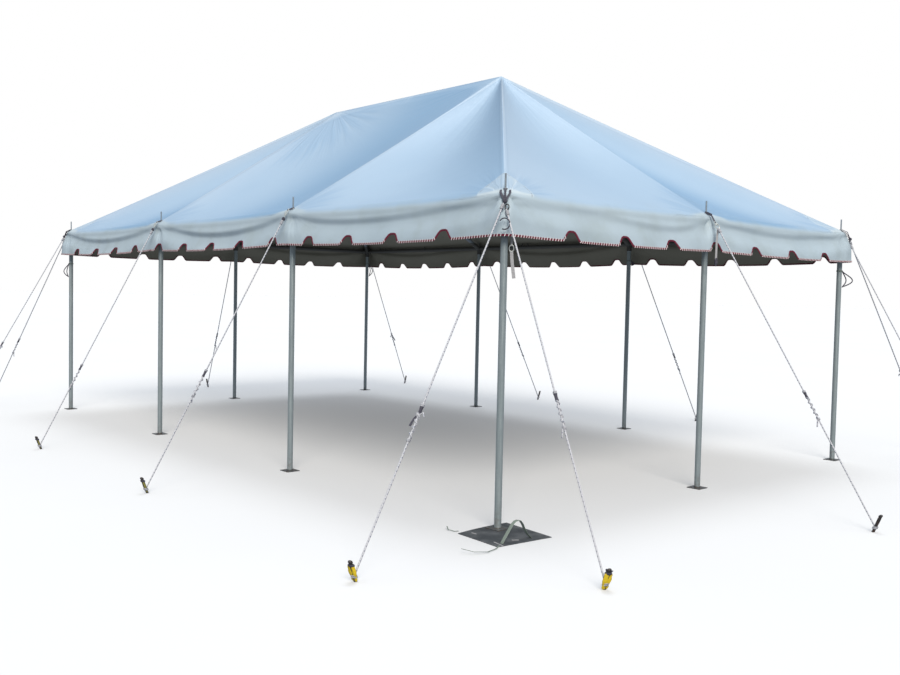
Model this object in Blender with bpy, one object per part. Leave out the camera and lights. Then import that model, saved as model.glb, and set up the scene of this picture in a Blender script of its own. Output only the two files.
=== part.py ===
# Hip-roofed marquee tent: a tube frame on ten legs carries a sewn canopy with
# scalloped valances, and fourteen guy ropes run down to stakes.
# Metres, +Z up. The origin is on the ground at the middle of the tent.
# +X is the long direction and the front is at -Y.

import bmesh
import bpy
from math import cos, pi, radians, sin, tan
from mathutils import Matrix, Vector

# Driving dimensions
LENGTH = 7.62
WIDTH = 4.57
EAVE_HEIGHT = 2.235
PEAK_HEIGHT = 3.694
RIDGE_HALF = 1.416
LONG_BAYS = 3
CONTACT_GAP = 0.0003

# Mesh settings
MERGE_DISTANCE = 0.0001
ROUNDING = 1e-6
SMOOTH_ANGLE = radians(40)
CURVE_ROUNDNESS = 2

# Frame tubes and their fittings
TUBE_RADIUS = 0.024
TUBE_SIDES = 16
SOCKET_RADIUS = 0.0285
SOCKET_REACH = 0.10
POST_RADIUS = 0.029
POST_BELOW_RAIL = 0.08
RAIL_HEIGHT = 2.158
POST_TOP = 2.198
RAFTER_DROP = 0.087
RIDGE_DROP = 0.034
CROWN_RADIUS = 0.036
CROWN_TOP_DROP = 0.0375
CROWN_BELOW = 0.05
RIDGE_TUBE_PAST_CROWN = 0.014
PIN_RADIUS = 0.0065
PIN_HEIGHT = 0.10
PIN_ROOT = 0.02
PIN_SIDES = 12
BASE_PLATE_SIDE = 0.12
BASE_PLATE_THICKNESS = 0.006

# Canopy
FABRIC = 0.010
EAVE_OVERHANG = 0.045
GROMMET_RADIUS = 0.0073
LONG_SAG = 0.055
SHORT_SAG = 0.035
RAIL_SAG_SHARE = 0.40
CREASE_SAG = 0.016
BELLY = 0.022
SEAM_SHIFT = 0.00022
BAY_STEPS = 8
SLOPE_STEPS = 7

# Valance
VALANCE_THICKNESS = 0.008
VALANCE_BOTTOM = 1.925
VALANCE_BOTTOM_SAG = 0.45
NOTCH_HEIGHT = 0.065
NOTCH_HALF = 0.095
NOTCH_FLAT_HALF = 0.018
NOTCH_STEPS = 5
HEM_FLARE = 0.055

# Number of notches along each scalloped edge, and the distance between them
NOTCHES = {
    "valance_front": (13, 0.554),
    "valance_back": (15, 0.510),
    "valance_right": (7, 0.586),
    "valance_left": (8, 0.520),
}

# Guy ropes and stakes
ROPE_RADIUS = 0.0055
ROPE_PIN_RISE = 0.013
SECOND_ROPE_RISE = 0.0113
ROPE_LEVEL_RUN = 0.015
ROPE_EDGE_REACH = 0.060
ROPE_EDGE_RISE = -0.011
ROPE_KNOT_HEIGHT = 0.045
TENSIONER_RADIUS = 0.013
TENSIONER_HALF = 0.035
TENSIONER_AT = 0.62
STAKE_RADIUS = 0.011
STAKE_HEIGHT = 0.115
STAKE_LEAN = radians(22)
STAKE_HEAD_RADIUS = 0.016
STAKE_HEAD_THICKNESS = 0.014

# Mat under the front right leg
MAT_SIDE = 0.45
MAT_THICKNESS = 0.005
MAT_CENTRE = (3.930, -2.360)
MAT_TURN = radians(-5)
MAT_LOOP_RADIUS = 0.006
MAT_LOOP_HEIGHT = 0.13
MAT_LOOP_FEET = ((4.05, -2.50), (4.02, -2.25))
MAT_LOOP_STEPS = 12
MAT_LOOP_CLEAR = 0.0012

HALF_LENGTH = LENGTH / 2
HALF_WIDTH = WIDTH / 2
LONG_BAY = LENGTH / LONG_BAYS
EDGE_X = HALF_LENGTH + EAVE_OVERHANG
EDGE_Y = HALF_WIDTH + EAVE_OVERHANG

# Plan places of the ten legs
LEGS = {
    "front_right": (HALF_LENGTH, -HALF_WIDTH),
    "front_mid_right": (LONG_BAY / 2, -HALF_WIDTH),
    "front_mid_left": (-LONG_BAY / 2, -HALF_WIDTH),
    "front_left": (-HALF_LENGTH, -HALF_WIDTH),
    "left_mid": (-HALF_LENGTH, 0.0),
    "back_left": (-HALF_LENGTH, HALF_WIDTH),
    "back_mid_left": (-LONG_BAY / 2, HALF_WIDTH),
    "back_mid_right": (LONG_BAY / 2, HALF_WIDTH),
    "back_right": (HALF_LENGTH, HALF_WIDTH),
    "right_mid": (HALF_LENGTH, 0.0),
}

# Each guy rope: the leg whose pin it hangs on, and where its stake meets the ground
GUYS = {
    "front_right_a": ("front_right", (4.163, -3.695)),
    "front_right_b": ("front_right", (5.077, -2.739)),
    "front_mid_right": ("front_mid_right", (1.417, -3.628)),
    "front_mid_left": ("front_mid_left", (-1.004, -3.591)),
    "front_left_a": ("front_left", (-3.600, -3.600)),
    "front_left_b": ("front_left", (-5.190, -2.800)),
    "left_mid": ("left_mid", (-5.395, 0.420)),
    "back_left_a": ("back_left", (-4.350, 3.520)),
    "back_left_b": ("back_left", (-4.910, 3.105)),
    "back_mid_left": ("back_mid_left", (-1.400, 3.660)),
    "back_mid_right": ("back_mid_right", (1.350, 3.620)),
    "back_right_a": ("back_right", (4.163, 3.695)),
    "back_right_b": ("back_right", (5.150, 2.120)),
    "right_mid": ("right_mid", (5.395, -0.294)),
}


def clear_scene():
    for thing in list(bpy.data.objects):
        bpy.data.objects.remove(thing)


def new_collection(name):
    group = bpy.data.collections.new(name)
    bpy.context.scene.collection.children.link(group)
    return group


def finish_material(name, colour, roughness, metallic=0.0):
    material = bpy.data.materials.new(name)
    material.use_nodes = True
    shader = material.node_tree.nodes["Principled BSDF"]
    shader.inputs["Base Color"].default_value = (*colour, 1.0)
    shader.inputs["Roughness"].default_value = roughness
    shader.inputs["Metallic"].default_value = metallic
    return material


def make_materials():
    return {
        "roof": finish_material("roof_vinyl", (0.40, 0.57, 0.79), 0.45),
        "valance": finish_material("valance_vinyl", (0.50, 0.61, 0.68), 0.50),
        "tube": finish_material("galvanised_tube", (0.36, 0.43, 0.48), 0.38, 0.9),
        "fitting": finish_material("eave_fittings", (0.30, 0.34, 0.37), 0.45, 0.9),
        "rope": finish_material("guy_rope", (0.72, 0.73, 0.78), 0.80),
        "mat": finish_material("mat_rubber", (0.07, 0.08, 0.09), 0.55),
        "strap": finish_material("mat_webbing", (0.16, 0.20, 0.17), 0.80),
    }


def mesh_object(name, bm, material, group):
    bmesh.ops.recalc_face_normals(bm, faces=bm.faces[:])
    mesh = bpy.data.meshes.new(name)
    bm.to_mesh(mesh)
    bm.free()
    made = bpy.data.objects.new(name, mesh)
    made.data.materials.append(material)
    group.objects.link(made)
    return made


def rod(bm, start, end, radius, sides=TUBE_SIDES):
    start, end = Vector(start), Vector(end)
    axis = end - start
    turn = axis.to_track_quat("Z", "Y").to_matrix().to_4x4()
    place = Matrix.Translation((start + end) / 2) @ turn
    bmesh.ops.create_cone(bm, cap_ends=True, segments=sides, radius1=radius,
                          radius2=radius, depth=axis.length, matrix=place)


def rod_object(name, start, end, radius, material, group, sides=TUBE_SIDES):
    bm = bmesh.new()
    rod(bm, start, end, radius, sides)
    made = mesh_object(name, bm, material, group)
    made.data.shade_smooth()
    made.data.set_sharp_from_angle(angle=SMOOTH_ANGLE)
    return made


def box_object(name, low, high, material, group):
    bm = bmesh.new()
    size = Vector(high) - Vector(low)
    place = Matrix.Translation((Vector(low) + Vector(high)) / 2)
    bmesh.ops.create_cube(bm, size=1.0, matrix=place @ Matrix.Diagonal((*size, 1.0)))
    return mesh_object(name, bm, material, group)


def combine(target, tool, cutters, operation):
    """Leaves a live Boolean on target; the tool becomes a guide that isn't shown."""
    for owner in tool.users_collection:
        owner.objects.unlink(tool)
    cutters.objects.link(tool)
    tool.hide_render = True
    tool.display_type = "WIRE"
    step = target.modifiers.new(tool.name, "BOOLEAN")
    step.operation = operation
    step.solver = "EXACT"
    step.object = tool


def welded_shape(curve, group):
    """The closed mesh that a curve gives, with its caps welded on."""
    guide = bpy.data.objects.new(curve.name + "_guide", curve)
    group.objects.link(guide)
    bpy.context.view_layer.update()
    seen = guide.evaluated_get(bpy.context.evaluated_depsgraph_get())
    bm = bmesh.new()
    bm.from_mesh(bpy.data.meshes.new_from_object(seen))
    bmesh.ops.remove_doubles(bm, verts=bm.verts[:], dist=MERGE_DISTANCE)
    bpy.data.objects.remove(guide)
    return bm


def add_spline(curve, points):
    spline = curve.splines.new("POLY")
    spline.points.add(len(points) - 1)
    for knot, place in zip(spline.points, points):
        knot.co = (*place, 1.0)
    return spline


def curve_tube(name, points, radius, material, group):
    curve = bpy.data.curves.new(name, "CURVE")
    curve.dimensions = "3D"
    curve.bevel_depth = radius
    curve.bevel_resolution = CURVE_ROUNDNESS
    curve.use_fill_caps = True
    add_spline(curve, points)
    return mesh_object(name, welded_shape(curve, group), material, group)


# Canopy form

def bay_share(place, edge, inner_posts):
    """How far place lies across its bay, from 0 to 1, along an eave of half length edge."""
    stops = [-edge, *inner_posts, edge]
    for low, high in zip(stops, stops[1:]):
        if place <= high + ROUNDING:
            return (place - low) / (high - low)
    return 1.0


def arch(share):
    return 4 * share * (1 - share)


def eave_sag(place, edge, inner_posts, sag):
    return sag * arch(bay_share(place, edge, inner_posts))


LONG_POSTS = (-LONG_BAY / 2, LONG_BAY / 2)
SHORT_POSTS = (0.0,)


def stops_along(edge, inner_posts):
    """Sample places along an eave, the same number in every bay."""
    bounds = [-edge, *inner_posts, edge]
    places = []
    for low, high in zip(bounds, bounds[1:]):
        places += [low + (high - low) * step / BAY_STEPS for step in range(BAY_STEPS)]
    return places + [edge]


# Height of the straight slope where it reaches the eave edge, past the pins
CORNER_EDGE = PEAK_HEIGHT + (EAVE_HEIGHT - PEAK_HEIGHT) * EDGE_Y / HALF_WIDTH


def roof_panel(name, long_side, sign, material, group):
    """One sewn slope: a sheet from the ridge or peak to the eave, sagging in each bay."""
    if long_side:
        edge, posts, sag = EDGE_X, LONG_POSTS, LONG_SAG
    else:
        edge, posts, sag = EDGE_Y, SHORT_POSTS, SHORT_SAG
    columns = stops_along(edge, posts)
    rail_line = HALF_WIDTH / EDGE_Y
    rows = [rail_line * row / (SLOPE_STEPS - 1) for row in range(SLOPE_STEPS)] + [1.0]
    bm = bmesh.new()
    bmesh.ops.create_grid(bm, x_segments=len(columns) - 1, y_segments=SLOPE_STEPS, size=1.0)
    for vert in bm.verts:
        column = round((vert.co.x + 1) / 2 * (len(columns) - 1))
        down = rows[round((vert.co.y + 1) / 2 * SLOPE_STEPS)]
        along = columns[column]
        if long_side:
            eave = Vector((along, sign * EDGE_Y, 0))
            share = min(max((along - posts[0]) / (posts[1] - posts[0]), 0), 1)
            top = Vector((RIDGE_HALF * (2 * share - 1), 0, 0))
        else:
            eave = Vector((sign * EDGE_X, along, 0))
            top = Vector((sign * RIDGE_HALF, 0, 0))
        place = top.lerp(eave, down)
        across = arch(bay_share(along, edge, posts))
        height = PEAK_HEIGHT + (CORNER_EDGE - PEAK_HEIGHT) * down
        height -= (BELLY * across + CREASE_SAG) * arch(down)
        if down < 1:
            height -= sag * RAIL_SAG_SHARE * across * down ** 2
        else:
            height -= sag * across
        vert.co = (place.x, place.y, height)
    bmesh.ops.remove_doubles(bm, verts=bm.verts[:], dist=MERGE_DISTANCE)
    bmesh.ops.triangulate(bm, faces=bm.faces[:])
    grown = bmesh.ops.extrude_face_region(bm, geom=bm.faces[:])
    lower = [item for item in grown["geom"] if isinstance(item, bmesh.types.BMVert)]
    bmesh.ops.translate(bm, verts=lower, vec=(0, 0, -FABRIC))
    shift = (0, sign * SEAM_SHIFT, 0) if long_side else (sign * SEAM_SHIFT, 0, 0)
    bmesh.ops.translate(bm, verts=bm.verts[:], vec=shift)
    return mesh_object(name, bm, material, group)


def notch_rise(place, centres):
    """Height of the scalloped edge above the valance's lowest line."""
    for centre in centres:
        off = abs(place - centre)
        if off < NOTCH_HALF:
            share = max(off - NOTCH_FLAT_HALF, 0) / (NOTCH_HALF - NOTCH_FLAT_HALF)
            return NOTCH_HEIGHT * (0.5 + 0.5 * cos(pi * share))
    return 0.0


def valance_outline(half, edge, posts, sag, notches, pitch):
    """Outline of one hanging strip, in its own flat: along the eave and up."""
    top_places = [place for place in stops_along(edge, posts) if abs(place) < half - ROUNDING]
    top_places = [-half] + top_places + [half]
    top = []
    for place in top_places:
        drop = eave_sag(place, edge, posts, sag)
        top.append((place, CORNER_EDGE - drop - FABRIC - CONTACT_GAP))
    centres = [(index - (notches - 1) / 2) * pitch for index in range(notches)]
    low_places = set(top_places)
    for centre in centres:
        low_places = {p for p in low_places if abs(p - centre) > NOTCH_HALF}
        for step in range(-NOTCH_STEPS, NOTCH_STEPS + 1):
            low_places.add(centre + NOTCH_HALF * step / NOTCH_STEPS)
    bottom = []
    for place in sorted(low_places):
        drop = VALANCE_BOTTOM_SAG * eave_sag(place, edge, posts, sag)
        bottom.append((place, VALANCE_BOTTOM - drop + notch_rise(place, centres)))
    return bottom + top[::-1]


def flare_hem(bm, half, edge, posts, sag, outward):
    """Leans the hanging strip outward from the eave to its hem, and widens it to match."""
    for vert in bm.verts:
        top = CORNER_EDGE - eave_sag(vert.co.x, edge, posts, sag)
        flare = HEM_FLARE * (top - vert.co.y) / (top - VALANCE_BOTTOM)
        vert.co.x += flare * vert.co.x / half
        vert.co.z += flare * outward


def valance(name, long_side, sign, material, group):
    """A flat outline, thickened, flared and stood upright along its eave."""
    if long_side:
        half, outer, outward = EDGE_X, EDGE_Y, -sign
        eave = (EDGE_X, LONG_POSTS, LONG_SAG)
    else:
        half, outer, outward = EDGE_Y - VALANCE_THICKNESS - CONTACT_GAP, EDGE_X, sign
        eave = (EDGE_Y, SHORT_POSTS, SHORT_SAG)
    outline = valance_outline(half, *eave, *NOTCHES[name])
    curve = bpy.data.curves.new(name, "CURVE")
    curve.dimensions = "2D"
    curve.fill_mode = "BOTH"
    curve.extrude = VALANCE_THICKNESS / 2
    spline = add_spline(curve, [(*place, 0.0) for place in outline])
    spline.use_cyclic_u = True
    bm = welded_shape(curve, group)
    flare_hem(bm, half, *eave, outward)
    middle = sign * (outer - VALANCE_THICKNESS / 2)
    upright = Matrix.Rotation(radians(90), 4, "X")
    quarter_turn = Matrix.Rotation(radians(90), 4, "Z")
    if long_side:
        place = Matrix.Translation((0, middle, 0)) @ upright
    else:
        place = Matrix.Translation((middle, 0, 0)) @ quarter_turn @ upright
    bmesh.ops.transform(bm, matrix=place, verts=bm.verts[:])
    return mesh_object(name, bm, material, group)


# Frame

def rafter_line(leg):
    """Low and high ends of a rafter's axis, from a leg to the nearer peak."""
    x, y = LEGS[leg]
    low = Vector((x, y, EAVE_HEIGHT - RAFTER_DROP))
    peak = RIDGE_HALF if x > 0 else -RIDGE_HALF
    high = Vector((peak, 0.0, PEAK_HEIGHT - RAFTER_DROP))
    return low, high


def level_share(low, high, reach):
    """Share of a line at a level distance from its low end."""
    return reach / (high - low).to_2d().length


def add_leg(name, metal, group, cutters):
    x, y = LEGS[name]
    floor = MAT_THICKNESS + CONTACT_GAP if name == "front_right" else 0.0
    half = BASE_PLATE_SIDE / 2
    top = RAIL_HEIGHT - POST_BELOW_RAIL - CONTACT_GAP
    start = (x, y, floor + BASE_PLATE_THICKNESS / 2)
    leg = rod_object("leg_" + name, start, (x, y, top), TUBE_RADIUS, metal, group)
    plate = box_object("plate_" + name, (x - half, y - half, floor),
                       (x + half, y + half, floor + BASE_PLATE_THICKNESS), metal, cutters)
    combine(leg, plate, cutters, "UNION")


def add_post(rail, leg, metal, cutters):
    """The upright fitting over a leg, with its pin and the sockets for the tubes."""
    x, y = LEGS[leg]
    low = RAIL_HEIGHT - POST_BELOW_RAIL
    parts = [("post", (x, y, low), (x, y, POST_TOP), POST_RADIUS, TUBE_SIDES)]
    pin_top = EAVE_HEIGHT + PIN_HEIGHT
    pin_foot = (x, y, POST_TOP - PIN_ROOT)
    parts.append(("pin", pin_foot, (x, y, pin_top), PIN_RADIUS, PIN_SIDES))
    start, end = rafter_line(leg)
    reach = start.lerp(end, level_share(start, end, SOCKET_REACH))
    parts.append(("rafter_socket", start, reach, SOCKET_RADIUS, TUBE_SIDES))
    if abs(x) == HALF_LENGTH and abs(y) == HALF_WIDTH:
        inward = -1 if y > 0 else 1
        start = (x, y, RAIL_HEIGHT)
        end = (x, y + inward * SOCKET_REACH, RAIL_HEIGHT)
        parts.append(("end_socket", start, end, SOCKET_RADIUS, TUBE_SIDES))
    for label, start, end, radius, sides in parts:
        tool = rod_object(f"{label}_{leg}", start, end, radius, metal, cutters, sides)
        combine(rail, tool, cutters, "UNION")


def add_long_rail(name, sign, metal, group, cutters):
    y = sign * HALF_WIDTH
    rail = rod_object(name, (-HALF_LENGTH, y, RAIL_HEIGHT), (HALF_LENGTH, y, RAIL_HEIGHT),
                      TUBE_RADIUS, metal, group)
    for leg, place in LEGS.items():
        if place[1] == y:
            add_post(rail, leg, metal, cutters)


def add_end_rail(name, sign, metal, group, cutters):
    x = sign * HALF_LENGTH
    reach = HALF_WIDTH - SOCKET_REACH - CONTACT_GAP
    rail = rod_object(name, (x, -reach, RAIL_HEIGHT), (x, reach, RAIL_HEIGHT),
                      TUBE_RADIUS, metal, group)
    leg = "right_mid" if sign > 0 else "left_mid"
    add_post(rail, leg, metal, cutters)


def add_ridge_frame(metal, group, cutters):
    """The ridge tube with a crown fitting at each peak, sockets and all."""
    height = PEAK_HEIGHT - RIDGE_DROP - FABRIC
    reach = RIDGE_HALF + RIDGE_TUBE_PAST_CROWN
    frame = rod_object("ridge_frame", (-reach, 0, height), (reach, 0, height),
                       TUBE_RADIUS, metal, group)
    for side in (-1, 1):
        x = side * RIDGE_HALF
        low = PEAK_HEIGHT - RAFTER_DROP - CROWN_BELOW
        top = PEAK_HEIGHT - CROWN_TOP_DROP
        crown = rod_object(f"crown_{side}", (x, 0, low), (x, 0, top), CROWN_RADIUS,
                           metal, cutters)
        combine(frame, crown, cutters, "UNION")
    for leg in LEGS:
        start, end = rafter_line(leg)
        inner = end.lerp(start, level_share(start, end, SOCKET_REACH))
        socket = rod_object("crown_socket_" + leg, end, inner, SOCKET_RADIUS, metal, cutters)
        combine(frame, socket, cutters, "UNION")


def add_rafter(leg, metal, group):
    start, end = rafter_line(leg)
    share = level_share(start, end, SOCKET_REACH + CONTACT_GAP)
    rod_object("rafter_" + leg, start.lerp(end, share), end.lerp(start, share),
               TUBE_RADIUS, metal, group)


def cut_grommets(panel, metal, group, cutters):
    """Holes in a roof slope for the pins that stand through it."""
    for leg, (x, y) in LEGS.items():
        tool = rod_object(f"grommet_{panel.name}_{leg}", (x, y, POST_TOP),
                          (x, y, EAVE_HEIGHT + PIN_HEIGHT), GROMMET_RADIUS, metal,
                          cutters, PIN_SIDES)
        combine(panel, tool, cutters, "DIFFERENCE")


# Ropes and stakes

def sheared_rod(name, foot, lean, low, high, radius, material, group, sides):
    """A leaning rod whose ends stay level, so that it stands flat on the ground."""
    bm = bmesh.new()
    rod(bm, (0, 0, low), (0, 0, high), radius, sides)
    for vert in bm.verts:
        vert.co.x += foot[0] + lean[0] * vert.co.z
        vert.co.y += foot[1] + lean[1] * vert.co.z
    return mesh_object(name, bm, material, group)


def add_guy(name, leg, foot, material, group, cutters):
    """One rope from its pin over the eave to its stake, with its tensioner."""
    x, y = LEGS[leg]
    out = Vector((foot[0] - x, foot[1] - y, 0)).normalized()
    if leg in ("left_mid", "right_mid"):
        lean_way = Vector((1 if x > 0 else -1, 0, 0))
    else:
        lean_way = out
    lean = (lean_way.x * tan(STAKE_LEAN), lean_way.y * tan(STAKE_LEAN))
    rise = ROPE_PIN_RISE + (SECOND_ROPE_RISE if name.endswith("_b") else 0)
    at_pin = Vector((x, y, EAVE_HEIGHT + rise)) + out * (PIN_RADIUS + CONTACT_GAP)
    at_edge = Vector((x, y, EAVE_HEIGHT + ROPE_EDGE_RISE)) + out * ROPE_EDGE_REACH
    knot = Vector((foot[0] + lean[0] * ROPE_KNOT_HEIGHT,
                   foot[1] + lean[1] * ROPE_KNOT_HEIGHT, ROPE_KNOT_HEIGHT))
    route = [at_pin, at_pin + out * ROPE_LEVEL_RUN, at_edge, knot]
    rope = curve_tube("guy_" + name, route, ROPE_RADIUS, material, group)
    middle = at_edge.lerp(knot, TENSIONER_AT)
    along = (knot - at_edge).normalized() * TENSIONER_HALF
    tensioner = rod_object("tensioner_" + name, middle - along, middle + along,
                           TENSIONER_RADIUS, material, cutters, PIN_SIDES)
    shaft = sheared_rod("stake_" + name, foot, lean, 0.0, STAKE_HEIGHT, STAKE_RADIUS,
                        material, cutters, PIN_SIDES)
    head_half = STAKE_HEAD_THICKNESS / 2
    head = sheared_rod("stake_head_" + name, foot, lean, STAKE_HEIGHT - head_half,
                       STAKE_HEIGHT + head_half, STAKE_HEAD_RADIUS, material, cutters, PIN_SIDES)
    for tool in (tensioner, shaft, head):
        combine(rope, tool, cutters, "UNION")


# Mat

def add_mat(materials, group):
    bm = bmesh.new()
    size = Matrix.Diagonal((MAT_SIDE, MAT_SIDE, MAT_THICKNESS, 1.0))
    place = Matrix.Translation((*MAT_CENTRE, MAT_THICKNESS / 2))
    turn = Matrix.Rotation(MAT_TURN, 4, "Z")
    bmesh.ops.create_cube(bm, size=1.0, matrix=place @ turn @ size)
    mesh_object("corner_mat", bm, materials["mat"], group)
    first, last = (Vector((*foot, 0)) for foot in MAT_LOOP_FEET)
    base = MAT_THICKNESS + MAT_LOOP_CLEAR
    points = []
    for step in range(MAT_LOOP_STEPS + 1):
        turn = pi * step / MAT_LOOP_STEPS
        place = first.lerp(last, 0.5 - 0.5 * cos(turn))
        points.append((place.x, place.y, base + MAT_LOOP_HEIGHT * sin(turn)))
    curve_tube("mat_strap_loop", points, MAT_LOOP_RADIUS, materials["strap"], group)


def build():
    clear_scene()
    group = new_collection("marquee_tent")
    cutters = new_collection("cutters")
    materials = make_materials()
    roofs = (("roof_front_slope", True, -1), ("roof_back_slope", True, 1),
             ("roof_right_hip", False, 1), ("roof_left_hip", False, -1))
    for name, long_side, sign in roofs:
        panel = roof_panel(name, long_side, sign, materials["roof"], group)
        cut_grommets(panel, materials["fitting"], group, cutters)
    valances = (("valance_front", True, -1), ("valance_back", True, 1),
                ("valance_right", False, 1), ("valance_left", False, -1))
    for name, long_side, sign in valances:
        valance(name, long_side, sign, materials["valance"], group)
    for leg in LEGS:
        add_leg(leg, materials["tube"], group, cutters)
        add_rafter(leg, materials["tube"], group)
    add_long_rail("eave_rail_front", -1, materials["fitting"], group, cutters)
    add_long_rail("eave_rail_back", 1, materials["fitting"], group, cutters)
    add_end_rail("eave_rail_right", 1, materials["fitting"], group, cutters)
    add_end_rail("eave_rail_left", -1, materials["fitting"], group, cutters)
    add_ridge_frame(materials["fitting"], group, cutters)
    for name, (leg, foot) in GUYS.items():
        add_guy(name, leg, foot, materials["rope"], group, cutters)
    add_mat(materials, group)


build()
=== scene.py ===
"""A hip-roofed marquee tent: one sewn canopy over a tube frame, with ropes, stakes and a mat."""

from contextlib import contextmanager
from math import cos, pi, radians, sin, tan

import bmesh
import bpy
import numpy as np
from mathutils import Matrix, Vector


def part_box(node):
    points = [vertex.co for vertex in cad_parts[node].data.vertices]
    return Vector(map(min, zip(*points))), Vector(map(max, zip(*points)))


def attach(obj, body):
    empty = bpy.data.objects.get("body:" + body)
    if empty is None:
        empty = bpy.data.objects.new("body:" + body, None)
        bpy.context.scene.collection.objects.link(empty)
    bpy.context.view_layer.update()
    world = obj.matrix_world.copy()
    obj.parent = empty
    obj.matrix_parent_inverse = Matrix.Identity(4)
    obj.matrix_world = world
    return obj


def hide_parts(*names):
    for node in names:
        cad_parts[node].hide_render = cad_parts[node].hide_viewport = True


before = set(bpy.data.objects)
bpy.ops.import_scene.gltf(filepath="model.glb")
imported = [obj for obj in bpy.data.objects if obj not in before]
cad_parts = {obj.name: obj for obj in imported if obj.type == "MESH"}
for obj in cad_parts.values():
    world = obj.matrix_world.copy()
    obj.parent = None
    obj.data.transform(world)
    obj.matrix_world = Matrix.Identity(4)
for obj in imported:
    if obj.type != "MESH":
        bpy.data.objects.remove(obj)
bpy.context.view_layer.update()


# Places and sizes of the frame, in metres

def middle(node):
    low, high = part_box(node)
    return (low + high) / 2


LEGS = {node[4:]: middle(node) for node in sorted(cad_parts) if node.startswith("leg_")}
LEG_RADIUS = 0.024
PIN_HEIGHT = 0.10
PIN_RADIUS = 0.0065
HALF_LENGTH = max(place.x for place in LEGS.values())
HALF_WIDTH = max(place.y for place in LEGS.values())
EDGE_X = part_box("roof_right_hip")[1].x
EDGE_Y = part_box("roof_back_slope")[1].y
OVERHANG = EDGE_Y - HALF_WIDTH
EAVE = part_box("eave_rail_front")[1].z - PIN_HEIGHT
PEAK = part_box("roof_front_slope")[1].z
RIDGE_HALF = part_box("roof_right_hip")[0].x
LONG_POST = HALF_LENGTH / 3
CORNER_EDGE = PEAK + (EAVE - PEAK) * EDGE_Y / HALF_WIDTH
UP = Vector((0, 0, 1))
ACROSS = Vector((1, -1, 0)).normalized()


def over(leg, height):
    """The place at a height on the axis of a leg."""
    return Vector((LEGS[leg].x, LEGS[leg].y, height))


def is_corner(leg):
    place = LEGS[leg]
    return abs(place.x) > HALF_LENGTH - OVERHANG and abs(place.y) > HALF_WIDTH - OVERHANG


# Finishes

PATCH_REACH = 0.26
PATCH_ARCH = 0.11
WEBBING_RIBS = 700.0


class Signal:
    """What a node gives: a number, place or colour. A sum or product of two adds its own node."""

    def __init__(self, tree, socket):
        self.tree = tree
        self.socket = socket

    def feed(self, node, key):
        self.tree.links.new(self.socket, node.inputs[key])

    def work_out(self, operation, other=0.0):
        return add_node(self.tree, "Math", {0: self, 1: other}, operation=operation)

    def fade(self, low, high, start=0.0, end=1.0):
        """This carried from low..high to start..end, smoothly and held at both ends."""
        inputs = {"Value": self, "From Min": low, "From Max": high, "To Min": start, "To Max": end}
        return add_node(self.tree, "MapRange", inputs, interpolation_type="SMOOTHSTEP")

    def part(self, axis):
        return add_node(self.tree, "SeparateXYZ", {0: self}, axis)

    def __add__(self, other):
        return self.work_out("ADD", other)

    def __sub__(self, other):
        return self.work_out("SUBTRACT", other)

    def __rsub__(self, other):
        return add_node(self.tree, "Math", {0: other, 1: self}, operation="SUBTRACT")

    def __mul__(self, other):
        return self.work_out("MULTIPLY", other)

    def __truediv__(self, other):
        return self.work_out("DIVIDE", other)

    def __abs__(self):
        return self.work_out("ABSOLUTE")


def add_node(tree, kind, inputs=None, output=0, **settings):
    """One output of a new node, whose inputs are values or other nodes' signals."""
    node = tree.nodes.new("ShaderNode" + kind)
    for key, value in settings.items():
        setattr(node, key, value)
    for key, value in (inputs or {}).items():
        if isinstance(value, Signal):
            value.feed(node, key)
        else:
            node.inputs[key].default_value = value
    return Signal(tree, node.outputs[output])


def start_finish(name, roughness, metallic=0.0):
    material = bpy.data.materials.new(name)
    material.use_nodes = True
    shader = material.node_tree.nodes["Principled BSDF"]
    shader.inputs["Roughness"].default_value = roughness
    shader.inputs["Metallic"].default_value = metallic
    return material, material.node_tree, shader


def object_place(tree):
    return add_node(tree, "TexCoord", output="Object")


def object_noise(tree, scale, detail=3.0, stretch=(1, 1, 1)):
    mapped = add_node(tree, "Mapping", {"Vector": object_place(tree), "Scale": stretch})
    return add_node(tree, "TexNoise", {"Vector": mapped, "Scale": scale, "Detail": detail}, "Fac")


def reading(tree, name):
    return add_node(tree, "Attribute", output="Fac", attribute_name=name)


def blend(share, first, second):
    inputs = {"Factor": share}
    for key, value in ((6, first), (7, second)):
        inputs[key] = value if isinstance(value, Signal) else (*value, 1.0)
    return add_node(share.tree, "Mix", inputs, 2, data_type="RGBA")


def roughen(shader, height, strength, distance):
    inputs = {"Height": height, "Strength": strength, "Distance": distance}
    add_node(height.tree, "Bump", inputs).feed(shader, "Normal")


def radiating_wrinkles(turn, reach, folds, near, far):
    """Folds that run out from a point, from the angle and the distance stored on the cloth."""
    tree = turn.tree
    place = turn * folds + object_noise(tree, 1.7, 2.0) * 0.9
    spot = add_node(tree, "CombineXYZ", {0: place, 1: reach * 0.8})
    waves = add_node(tree, "TexNoise", {"Vector": spot, "Scale": 1.0, "Detail": 2.0}, "Fac")
    return waves * (reach.fade(0.02, near) * reach.fade(near, far, 1.0, 0.0))


def corner_patch_gap(tree):
    """Distance outside the arched reinforcing patch at the nearest corner, less than 0 on it."""
    place = object_place(tree)
    along = HALF_LENGTH - abs(place.part(0))
    across = HALF_WIDTH - abs(place.part(1))
    flat = add_node(tree, "CombineXYZ", {0: along, 1: across})
    reach = add_node(tree, "VectorMath", {0: flat}, "Value", operation="LENGTH")
    turn = across.work_out("ARCTAN2", along) * (4 / pi)
    share = 1.0 - abs(turn - 1.0)
    return reach - (share * PATCH_ARCH + PATCH_REACH)


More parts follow.
